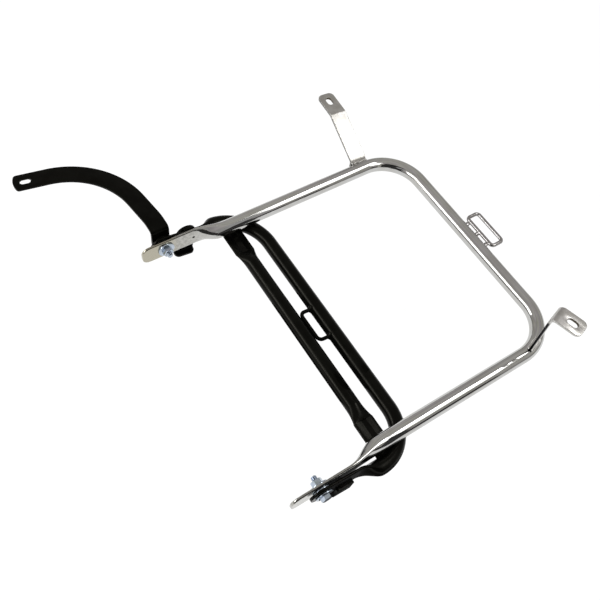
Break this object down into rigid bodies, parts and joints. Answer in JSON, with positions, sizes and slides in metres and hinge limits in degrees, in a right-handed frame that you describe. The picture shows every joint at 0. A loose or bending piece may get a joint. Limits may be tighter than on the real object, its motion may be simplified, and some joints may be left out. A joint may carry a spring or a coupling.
{
  "type": "pannier frame",
  "caption": "Chromed tube hoop for a motorcycle's side, with slotted mounting tabs, a curved stay arm and a black luggage shelf that folds out on pivot bolts.",
  "frame": {"origin": "middle of the bounding box, on the surface the frame lies on with its shelf folded", "axes": "+X across the hoop from the front leg to the rear leg, +Y from the pivots to the crossbar, +Z from the outer side to the machine's side"},
  "size_m": [0.453, 0.4366, 0.1012],
  "materials": {
    "chrome": "bright chrome plate",
    "black_coat": "satin black powder coat",
    "zinc": "bright zinc plate"
  },
  "bodies": {
    "hoop": {"hoop_tube": "chrome", "front_tab": "chrome", "front_tab_weld": "chrome", "rear_tab": "chrome", "rear_tab_welds": "chrome", "strap_link": "chrome", "strap_link_welds": "chrome", "front_pivot_bolt": "zinc", "front_pivot_nut": "zinc", "front_nut_washer": "zinc", "front_gap_washer": "zinc", "front_head_washer": "zinc", "rear_pivot_bolt": "zinc", "rear_pivot_nut": "zinc", "rear_nut_washer": "zinc", "rear_gap_washer": "zinc", "rear_head_washer": "zinc", "stay_arm": "black_coat", "arm_spacer_washers": "black_coat"},
    "shelf": {"shelf_tube": "black_coat", "shelf_brace": "black_coat", "shelf_strap_loop": "black_coat", "shelf_loop_welds": "black_coat", "front_brace_weld": "black_coat", "front_stop_plate": "black_coat", "front_stop_weld": "black_coat", "rear_brace_weld": "black_coat", "rear_stop_plate": "black_coat", "rear_stop_weld": "black_coat"}
  },
  "joints": [
    {"name": "shelf_fold", "type": "hinge", "parent": "hoop", "child": "shelf", "pos_m": [0.06151, -0.11128, 0.03118], "axis": [-1, 0, 0], "range_deg": [0, 90]}
  ]
}
